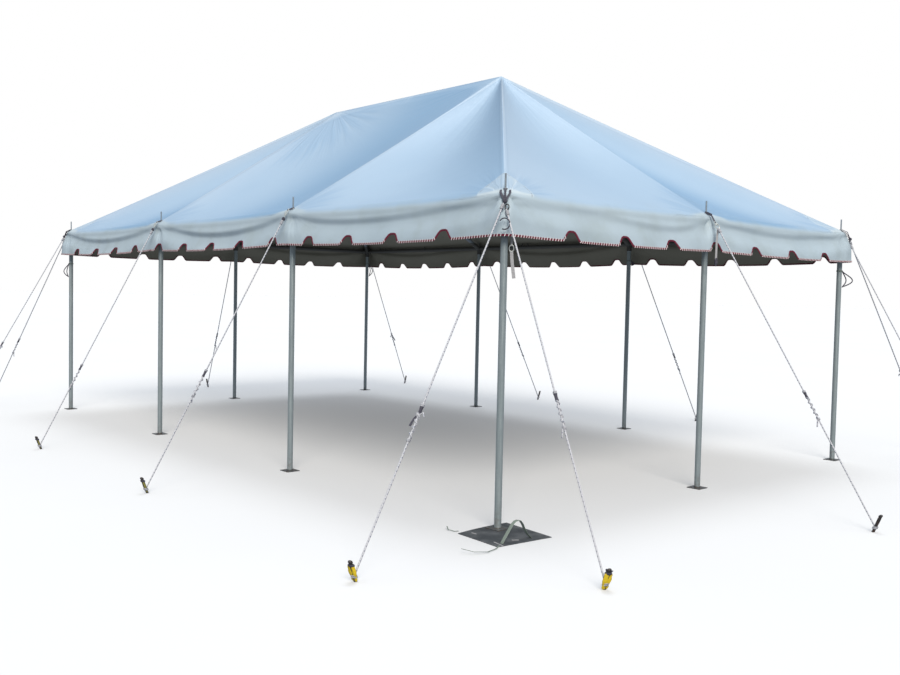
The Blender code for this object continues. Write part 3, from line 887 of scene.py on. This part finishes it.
def make_stake_head():
    """A hammered mushroom head: domed above and flat below."""
    bpy.ops.mesh.primitive_uv_sphere_add(segments=ROUND_SIDES, ring_count=10, radius=1.0)
    head = take_primitive("head_pattern", "stake")
    with whole_mesh():
        bpy.ops.transform.resize(value=(STAKE_HEAD_RADIUS, STAKE_HEAD_RADIUS, STAKE_HEAD_THICKNESS))
        bpy.ops.mesh.bisect(plane_co=(0, 0, -STAKE_HEAD_THICKNESS * 0.3), plane_no=(0, 0, -1),
                            use_fill=True, clear_outer=True)
    return head


def make_stake_shaft():
    """A bar of unit height with one raised collar, stretched to each stake's height."""
    bpy.ops.mesh.primitive_cylinder_add(vertices=ROUND_SIDES, radius=STAKE_RADIUS, depth=1.0,
                                        location=(0, 0, 0.5))
    shaft = take_primitive("shaft_pattern", "stake")
    with whole_mesh():
        for height in COLLAR:
            bpy.ops.mesh.select_all(action="SELECT")
            bpy.ops.mesh.bisect(plane_co=(0, 0, height), plane_no=(0, 0, 1))
    thicken(shaft, COLLAR[0] - 0.01, COLLAR[1] + 0.01, 1.2)
    return shaft


def make_parts():
    deselect_all()
    parts = {name: make_ring(name + "_pattern", *row) for name, row in RINGS.items()}
    parts["knot"] = make_knot("knot_pattern", "rope", 0.014)
    parts["dark_knot"] = make_knot("dark_knot_pattern", "strap", 0.015)
    parts["head"] = make_stake_head()
    parts["shaft"] = make_stake_shaft()
    parts["runner"] = make_runner()
    return parts


# Grommets and the fittings that the ropes start from

EDGE_OUT = 0.055
EDGE_DROP = 0.020
CORNER_KNOT_OUT = 0.090
CORNER_KNOT_DROP = 0.088
CURL_RADIUS = 0.0042
LOOP_STEPS = 10


def make_grommet(leg):
    settle(copy_of("grommet", "grommet_" + leg, at(over(leg, EAVE + 0.001))))


def loop_round(centre, away, radius, small):
    """A closed loop round a post at centre, drawn out along away and round its far end."""
    length = away.length
    away = away.normalized()
    far = centre + away * length
    level = Vector((-away.y, away.x, 0)).normalized()
    points = []
    for k in range(LOOP_STEPS + 1):
        turn = pi * k / LOOP_STEPS
        points.append(centre + level * radius * cos(turn) - away * radius * sin(turn))
    for k in range(LOOP_STEPS // 2 + 1):
        turn = pi * k / (LOOP_STEPS // 2)
        points.append(far - level * small * cos(turn) + away * small * sin(turn))
    return points


def corner_knot(leg):
    """Where the straps meet under a corner, the way out of it and the way across that."""
    diagonal = Vector((np.sign(LEGS[leg].x), np.sign(LEGS[leg].y), 0)).normalized()
    knot = over(leg, EAVE - CORNER_KNOT_DROP) + diagonal * CORNER_KNOT_OUT
    return knot, diagonal, Vector((-diagonal.y, diagonal.x, 0))


def hanging_loop(top, side):
    """The open end of the corner strap, hanging below the knot in a curl."""
    curl = []
    for k in range(15):
        turn = radians(-60 + 19 * k)
        curl.append(top - UP * (0.148 - 0.036 * cos(turn)) + side * 0.034 * sin(turn))
    return sweep("curl", curl, round_section(CURL_RADIUS, THIN_SIDES), "strap", up=side.cross(UP))


def make_corner_fitting(leg):
    """Sewn straps that meet under the corner in a knot, with a shackle below it."""
    knot, diagonal, side = corner_knot(leg)
    top = over(leg, EAVE)
    arms = []
    for sign in (-1, 1):
        tab = top + side * sign * 0.030 - diagonal * 0.006 - UP * 0.007
        brim = top + side * sign * 0.031 + diagonal * 0.040 - UP * 0.029
        route = [tab, tab.lerp(brim, 0.5), brim, brim.lerp(knot, 0.5), knot]
        arms.append(sweep("arm", route, strap_section(0.016, 0.004), "strap", up=side + UP * 0.3))
    route = [top + diagonal * 0.010 + UP * 0.002, top + diagonal * 0.062 - UP * 0.020, knot]
    arms.append(sweep("arm", route, strap_section(0.013, 0.004), "strap", up=side))
    arms.append(copy_of("dark_knot", "knot", at(knot)))
    if leg == "front_right":
        arms.append(hanging_loop(knot + diagonal * 0.052, side))
    settle(join("corner_straps_" + leg, arms))
    below = knot - UP * 0.036 + side * 0.014
    shackle = copy_of("shackle", "corner_shackle_" + leg, at(below) @ turned(35))
    settle(shackle)


def mid_fitting(name, leg, out, foot_knot):
    """The strap or links over the eave at a side leg; gives where the rope takes over."""
    base = over(leg, EAVE + 0.006)
    edge = base + out * EDGE_OUT - UP * EDGE_DROP
    down = (foot_knot - edge).normalized()
    side = out.cross(UP)
    strapped = leg == "right_mid"
    loop = loop_round(base, edge - base, PIN_RADIUS + 0.003, 0.005)
    section = strap_section(0.018 if strapped else 0.010, 0.003)
    strap = [sweep("loop", loop, section, "strap", closed=True)]
    if strapped:
        end = edge + down * 0.080
        far = end + down * 2
        start = end + down * 0.055
        hanger = filled_line(edge - down * 0.004, end, 0.02)
        spare = [start, start + side * 0.010 - UP * 0.10, start + side * 0.012 - UP * 0.27]
        strap.append(sweep("hanger", hanger, strap_section(0.019, 0.004), "strap", up=side))
        strap.append(sweep("spare", spare, strap_section(0.022, 0.003), "pale_strap", up=side))
        strap.append(copy_of("dark_knot", "knot",
                             at(spare[-1]) @ Matrix.Diagonal((0.8, 0.8, 2.2, 1))))
        lower_ring = along_axis(end + down * 0.038, far) @ turned(40) @ sized(1.25)
        steel = [copy_of("ring", "ring", along_axis(end + down * 0.008, far)),
                 copy_of("ring", "ring", lower_ring)]
    else:
        end = edge + down * 0.070
        start = end + down * 0.030
        second = edge + down * 0.048 + side * 0.010
        strap.append(copy_of("dark_knot", "knot", at(end + down * 0.022)))
        steel = [copy_of("link", "link", along_axis(edge + down * 0.022, end)),
                 copy_of("link", "link", along_axis(second, end) @ turned(70))]
    settle(join("pin_strap_" + name, strap))
    settle(join("guy_links_" + name, steel))
    return start


# Ropes and stakes

# Where each guy rope's stake meets the ground, as in the construction
GUYS = {
    "front_right_a": ("front_right", (4.163, -3.695)),
    "front_right_b": ("front_right", (5.077, -2.739)),
    "front_mid_right": ("front_mid_right", (1.417, -3.628)),
    "front_mid_left": ("front_mid_left", (-1.004, -3.591)),
    "front_left_a": ("front_left", (-3.600, -3.600)),
    "front_left_b": ("front_left", (-5.190, -2.800)),
    "left_mid": ("left_mid", (-5.395, 0.420)),
    "back_left_a": ("back_left", (-4.350, 3.520)),
    "back_left_b": ("back_left", (-4.910, 3.105)),
    "back_mid_left": ("back_mid_left", (-1.400, 3.660)),
    "back_mid_right": ("back_mid_right", (1.350, 3.620)),
    "back_right_a": ("back_right", (4.163, 3.695)),
    "back_right_b": ("back_right", (5.150, 2.120)),
    "right_mid": ("right_mid", (5.395, -0.294)),
}
ROPE_RADIUS = 0.0055
ROPE_ASIDE = 0.009
FIRST_ROPE_DROP = 0.014
SECOND_ROPE_DROP = 0.052
ROPE_KNOT_HEIGHT = 0.034
WRAP_PITCH = 0.0085
STAKE_WRAP_PITCH = 0.009
TOP_LASHING = 0.016
UPPER_LASHING = 0.035
LOWER_LASHING = 0.19
WOUND_LENGTH = 0.17
WOUND_TURNS = 4
STAKE_HEIGHT = 0.115
STAKE_LEAN = radians(22)
RUNNER_AT = {"front_right_a": 0.600, "front_right_b": 0.550, "front_mid_right": 0.60,
             "front_mid_left": 0.66, "right_mid": 0.60}
RUNNER_ELSEWHERE = 0.62

# The webbing sleeves: finish and size of each, their crumpled outline, and their girth up the
# stake
SLEEVES = {"front_right_a": ("sling", 1.12), "front_right_b": ("sling", 1.25),
           "front_mid_right": ("olive_sling", 0.8), "front_mid_left": ("olive_sling", 0.7)}
SLEEVE_HALF_WIDTH = 0.019
SLEEVE_HALF_DEPTH = 0.012
SLEEVE_SIDES = 28
SLEEVE_SIZES = (0.52, 0.80, 0.72, 0.86, 1.0, 1.04, 0.92, 0.96, 0.78)


def sleeve_section(size):
    section = []
    for k in range(SLEEVE_SIDES):
        turn = 2 * pi * k / SLEEVE_SIDES
        crumple = 1 + 0.20 * sin(3 * turn) + 0.12 * sin(7 * turn + 1)
        section.append((SLEEVE_HALF_WIDTH * crumple * cos(turn) * size,
                        SLEEVE_HALF_DEPTH * crumple * sin(turn) * size))
    return section


def make_sleeve(name, foot, lean, out, shear):
    """A sleeve of webbing over a stake, tied at its top."""
    finish, size = SLEEVES[name]
    low, high = Vector((*foot, 0.004)), Vector((*foot, STAKE_HEIGHT * 0.86))
    steps = len(SLEEVE_SIZES) - 1
    spots = [low.lerp(high, k / steps) for k in range(steps + 1)]
    route = [spot + lean * spot.z for spot in spots]
    top = shear @ at((0, 0, STAKE_HEIGHT * 0.84)) @ Matrix.Diagonal((1.1, 0.9, 1.3, 1))
    sleeve = [sweep("sleeve", route, sleeve_section(size), finish, up=out, sizes=SLEEVE_SIZES),
              copy_of("dark_wrap", "band", top)]
    if name == "front_right_b":
        for sign in (-1, 1):
            ear = ((0, 0, 0), (0.013 * sign, 0, 0.007), (0.019 * sign, 0, 0.016))
            sleeve.append(sweep("ear", [top @ Vector(point) for point in ear],
                                strap_section(0.014, 0.004), "strap", up=(0, 1, 0)))
    settle(join("stake_sleeve_" + name, sleeve))


def make_stake(name, shear):
    shaft = copy_of("shaft", "stake_" + name, shear @ Matrix.Diagonal((1, 1, STAKE_HEIGHT, 1)))
    head = copy_of("head", "head", shear @ at((0, 0, STAKE_HEIGHT)))
    settle(join("stake_" + name, [shaft, head]))


def twisted_tail(start, down, length, turns):
    """A second strand wound round the rope below its runner."""
    side = down.cross(UP).normalized()
    over_it = side.cross(down)
    steps = int(turns * 10)
    points = []
    for k in range(steps + 1):
        turn = 2 * pi * turns * k / steps
        points.append(start + down * length * k / steps
                      + (side * cos(turn) + over_it * sin(turn)) * ROPE_RADIUS * 1.7)
    return points


def make_guy(name):
    """One rope from its fitting to its stake, with its lashings, runner and loose end."""
    leg, foot = GUYS[name]
    out = Vector((foot[0] - LEGS[leg].x, foot[1] - LEGS[leg].y, 0)).normalized()
    lean_way = Vector((np.sign(LEGS[leg].x), 0, 0)) if leg in ("left_mid", "right_mid") else out
    lean = lean_way * tan(STAKE_LEAN)
    shear = Matrix(((1, 0, lean.x, foot[0]), (0, 1, lean.y, foot[1]), (0, 0, 1, 0), (0, 0, 0, 1)))
    knot = Vector((*foot, 0)) + lean * ROPE_KNOT_HEIGHT + UP * ROPE_KNOT_HEIGHT
    if is_corner(leg):
        start, _, side = corner_knot(leg)
        drop = SECOND_ROPE_DROP if name.endswith("_b") else FIRST_ROPE_DROP
        start = start - UP * drop + side * ROPE_ASIDE * np.sign(out.dot(side))
    else:
        start = mid_fitting(name, leg, out, knot)
    make_stake(name, shear)
    if name in SLEEVES:
        make_sleeve(name, foot, lean, out, shear)
    down = (knot - start).normalized()
    side = down.cross(UP).normalized()
    line = filled_line(start, knot - down * STAKE_RADIUS)
    rope = [sweep("guy_rope_" + name, line, round_section(ROPE_RADIUS), "rope")]
    centre = start.lerp(knot, RUNNER_AT.get(name, RUNNER_ELSEWHERE))
    lashings = ((start + down * TOP_LASHING, 4), (centre - down * UPPER_LASHING, 2),
                (centre + down * LOWER_LASHING, 2))
    for first, count in lashings:
        for k in range(count):
            rope.append(copy_of("wrap", "wrap", along_axis(first + down * WRAP_PITCH * k, knot)))
    for k in range(2):
        level = ROPE_KNOT_HEIGHT - 0.006 + STAKE_WRAP_PITCH * k
        rope.append(copy_of("stake_wrap", "turn", shear @ at((0, 0, level))))
    wound = twisted_tail(centre + down * 0.02, down, WOUND_LENGTH, WOUND_TURNS)
    rope.append(sweep("wound", wound, round_section(ROPE_RADIUS * 0.8, THIN_SIDES), "rope"))
    if name.endswith("_a"):
        rope.append(copy_of("knot", "knot", at(centre + down * 0.03 + side * 0.005)))
        tail = [centre + down * 0.03, centre - side * 0.028 + down * 0.015,
                centre - side * 0.042 + down * 0.040]
    else:
        tail = [centre + down * LOWER_LASHING, centre + down * 0.20 + side * 0.012,
                centre + down * 0.20 + side * 0.014 - UP * 0.05]
    rope.append(sweep("tail", tail, round_section(ROPE_RADIUS * 0.9), "rope", up=out))
    settle(join("guy_rope_" + name, rope), ["guy_" + name])
    runner = [copy_of("runner", "guy_runner_" + name, along_axis(centre, knot))]
    if name.endswith("_a"):
        flap = [centre + down * 0.03 + side * 0.006, centre + down * 0.06 + side * 0.022,
                centre + down * 0.105 + side * 0.032]
        runner.append(sweep("flap", flap, strap_section(0.018, 0.004), "strap", up=side))
    settle(join("guy_runner_" + name, runner))


# Mat under the near corner leg

MAT_SIDE = 0.45
MAT_CELLS = 24
MAT_TURN = radians(-5)
MAT_CENTRE = (3.930, -2.360)
MAT_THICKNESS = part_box("corner_mat")[1].z
MAT_EDGE = 0.0015
MAT_PULLED = Vector((3.686, -2.565, MAT_THICKNESS))
MAT_PULL = Vector((0.055, -0.012, 0))
LOOP_FEET = ((4.105, -2.540), (4.110, -2.285))
LOOP_HEIGHT = 0.13
LOOP_SHAPE = ((0.0, 0.0), (0.10, 0.26), (0.22, 0.55), (0.34, 0.84), (0.43, 0.97), (0.52, 1.0),
              (0.61, 0.96), (0.69, 0.78), (0.77, 0.50), (0.87, 0.22), (1.0, 0.0))
LACES = (((4.044, -2.545), (4.145, -2.567)), ((4.078, -2.421), (4.105, -2.385)),
         ((3.790, -2.500), (3.830, -2.498)))
TAILS = (((3.700, -2.535), (3.690, -2.560), (3.640, -2.570), (3.601, -2.546)),
         ((4.120, -2.575), (4.160, -2.640), (4.190, -2.740), (4.165, -2.830), (4.105, -2.879)))


def make_mat():
    """The stiff mat, with its far left corner pulled in."""
    deselect_all()
    bpy.ops.mesh.primitive_grid_add(x_subdivisions=MAT_CELLS, y_subdivisions=MAT_CELLS,
                                    size=MAT_SIDE, location=(*MAT_CENTRE, MAT_THICKNESS),
                                    rotation=(0, 0, MAT_TURN))
    mat = take_primitive("mat_pad", "mat")
    for vert in mat.data.vertices:
        pull = max(0, 1 - (vert.co - MAT_PULLED).length / MAT_SIDE)
        vert.co += MAT_PULL * pull * pull
    apply_modifier(mat, "SOLIDIFY", thickness=MAT_THICKNESS, offset=-1)
    apply_modifier(mat, "BEVEL", width=MAT_EDGE, segments=2, limit_method="ANGLE")
    settle(mat, ["corner_mat"])


def make_mat_loop():
    """The flat loop that stands up on the mat, with the laces and loose ends beside it."""
    first, last = (Vector((*foot, MAT_THICKNESS + 0.003)) for foot in LOOP_FEET)
    path = [first.lerp(last, share) + UP * (LOOP_HEIGHT - 0.002) * height
            for share, height in LOOP_SHAPE]
    loop = sweep("mat_strap", path, strap_section(0.026, 0.003), "grey_strap",
                 up=(last - first).cross(UP).normalized())
    settle(loop, ["mat_strap_loop"])
    thin = strap_section(0.009, 0.003)
    laces = [sweep("lace", [(*end, MAT_THICKNESS + 0.001) for end in ends], thin, "pale_strap",
                   up=ACROSS) for ends in LACES]
    settle(join("mat_laces", laces), smooth=False)
    for k, points in enumerate(TAILS):
        rise = [0.005 + 0.003 * max(0, step - 1) ** 2 for step in range(len(points))]
        path = [(*point, z) for point, z in zip(points, rise)]
        settle(sweep("mat_tail_%d" % k, path, thin, "grey_strap", up=ACROSS))


# Cords on the legs, the spare strap and the hooks on the far rail

# Cords made fast on the legs: height, turn round the leg, and how wide and tall the loop hangs
TIES = {"front_left": (1.81, 228, 0.060, 0.16), "back_right": (1.835, 48, 0.100, 0.15),
        "back_left": (1.97, 48, 0.055, 0.19), "back_mid_right": (1.96, 48, 0.035, 0.05)}
TIE_PITCH = 0.007
TIE_STEPS = 12
TIE_RETURN = 0.38
HOOKS_AT = (-3.437, -3.311, -2.394, -0.430, -0.340)
HOOK_INSIDE = 0.028
HOOK_DROP = 0.055


def make_tie(leg):
    """A cord made fast round a leg, with its end hanging beside it in a loop."""
    height, turn, wide, tall = TIES[leg]
    away = Vector((cos(radians(turn)), sin(radians(turn)), 0))
    tie = [copy_of("leg_wrap", "band", at(over(leg, height) + UP * TIE_PITCH * k)) for k in range(2)]
    top = over(leg, height) + away * LEG_RADIUS
    loop = []
    for strand, reach in ((range(TIE_STEPS + 1), 1.0), (range(TIE_STEPS - 1, 0, -1), TIE_RETURN)):
        for k in strand:
            share = k / TIE_STEPS
            bow = sin(pi * share ** 1.25) * reach
            loop.append(top + away * (0.006 + wide * bow) - UP * tall * share)
    tie.append(sweep("loop", loop, round_section(ROPE_RADIUS, THIN_SIDES), "strap",
                     up=away.cross(UP), closed=True))
    tie.append(copy_of("dark_knot", "knot", at(top) @ sized(0.7)))
    settle(join("leg_tie_" + leg, tie))


def make_hanging_strap():
    """The spare strap that hangs inside the near corner, beside its leg."""
    side = Vector((1, 1, 0)).normalized()
    top = over("front_right", 0) + side * 0.048
    upper = [top + UP * 1.965, top + UP * 1.865]
    lower = [top + UP * 1.835, top + side * 0.006 + UP * 1.76, top + side * 0.020 + UP * 1.655]
    pieces = [sweep("upper", upper, strap_section(0.014, 0.003), "pale_strap", up=side),
              sweep("lower", lower, strap_section(0.022, 0.003), "pale_strap", up=side)]
    settle(join("spare_strap", pieces))
    place = at(top + UP * 1.850) @ turned(45) @ sized(1.2)
    settle(copy_of("ring", "spare_shackle", place))


def make_hooks():
    """Small open hooks left hanging on the far rail."""
    places = [(x, HALF_WIDTH - HOOK_INSIDE, EAVE - HOOK_DROP) for x in HOOKS_AT]
    hooks = [copy_of("shackle", "hook", at(place) @ sized(1.1)) for place in places]
    settle(join("rail_hooks", hooks))


def dress_frame():
    """Gives the frame's own pieces their finish."""
    for name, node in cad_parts.items():
        if node.hide_render:
            continue
        node.data.materials.clear()
        # Legs take the tube finish; every other frame piece takes the rail finish, painted dark as
        # shade below the eave.
        node.data.materials.append(FINISH["tube" if name.startswith("leg_") else "rail"])


# Floor, light and camera

FLOOR_RADIUS = 200.0
FLOOR_GLOW = 0.20
DOME_COLOUR = (0.87, 0.95, 1.06, 1.0)
DOME_LOW = 0.33
DOME_HIGH = 0.62
# Each sun: its strength, its breadth in degrees, its colour and the way to it
SUNS = {"key": (2.9, 32, (1.0, 0.93, 0.83), (0.68, -0.45, 0.58)),
        "overhead": (0.95, 24, (0.95, 0.98, 1.0), (-0.22, 0.26, 1.0))}
WHITE = (1.0, 1.0, 1.0, 1.0)
LENS = 38.40
CAMERA_AT = (8.2664, -6.7101, 1.5567)
CAMERA_YAW = radians(48.306)
CAMERA_PITCH = radians(-2.698)
CAMERA_ROLL = radians(1.181)


def make_floor():
    """A plain floor, white in the light and soft grey in the tent's shade."""
    deselect_all()
    bpy.ops.mesh.primitive_circle_add(vertices=96, radius=FLOOR_RADIUS, fill_type="NGON")
    floor = bpy.context.object
    floor.name = "floor"
    material, tree, shader = start_finish("floor_paint", 1.0)
    shader.inputs["Specular IOR Level"].default_value = 0.0
    tone = blend(object_noise(tree, 0.3, 3.0), (0.595, 0.605, 0.62), (0.635, 0.645, 0.66))
    tone.feed(shader, "Base Color")
    shader.inputs["Emission Color"].default_value = WHITE
    shader.inputs["Emission Strength"].default_value = FLOOR_GLOW
    floor.data.materials.append(material)
    floor.visible_diffuse = False
    floor.visible_glossy = False


def add_sun(name, energy, angle, colour, towards):
    sun = bpy.data.lights.new(name, "SUN")
    sun.energy = energy
    sun.angle = radians(angle)
    sun.color = colour
    link(name, sun).rotation_euler = Vector(towards).to_track_quat("Z", "Y").to_euler()


def make_light():
    """A white studio: a pale dome, darker low down, a broad warm light and one from above."""
    world = bpy.data.worlds.new("studio")
    bpy.context.scene.world = world
    world.use_nodes = True
    tree = world.node_tree
    height = add_node(tree, "TexCoord", output="Generated").part(2)
    dome = tree.nodes["Background"]
    dome.inputs["Color"].default_value = DOME_COLOUR
    height.fade(-0.05, 0.8, DOME_LOW, DOME_HIGH).feed(dome, "Strength")
    white = add_node(tree, "Background", {0: WHITE, 1: 1.0})
    seen = add_node(tree, "LightPath", output="Is Camera Ray")
    both = add_node(tree, "MixShader", {0: seen, 1: Signal(tree, dome.outputs[0]), 2: white})
    both.feed(tree.nodes["World Output"], "Surface")
    for name, row in SUNS.items():
        add_sun(name, *row)
    bpy.context.scene.view_settings.view_transform = "Standard"


def make_camera():
    lens = bpy.data.cameras.new("camera")
    lens.sensor_fit = "HORIZONTAL"
    lens.sensor_width = 36.0
    lens.lens = LENS
    camera = link("camera", lens)
    turn = (Matrix.Rotation(CAMERA_YAW, 4, "Z") @ Matrix.Rotation(pi / 2 + CAMERA_PITCH, 4, "X")
            @ Matrix.Rotation(CAMERA_ROLL, 4, "Z"))
    camera.matrix_world = at(CAMERA_AT) @ turn
    bpy.context.scene.camera = camera


# Making the tent

CLOTH_NODES = ["roof_front_slope", "roof_back_slope", "roof_right_hip", "roof_left_hip",
               "valance_front", "valance_back", "valance_right", "valance_left"]

canopy, columns, cloth_rows = make_canopy()
settle(canopy, CLOTH_NODES, smooth=False)
binding = settle(make_binding(cloth_rows, columns), smooth=False)
whipstitch = settle(make_whipstitch(cloth_rows, columns), smooth=False)

PARTS = make_parts()
for leg_name in LEGS:
    make_grommet(leg_name)
for leg_name in LEGS:
    if is_corner(leg_name):
        make_corner_fitting(leg_name)
for guy in GUYS:
    make_guy(guy)
make_mat()
make_mat_loop()
for leg_name in TIES:
    make_tie(leg_name)
make_hanging_strap()
make_hooks()
for pattern in PARTS.values():
    bpy.data.objects.remove(pattern)

dress_frame()
make_floor()
make_light()
make_camera()
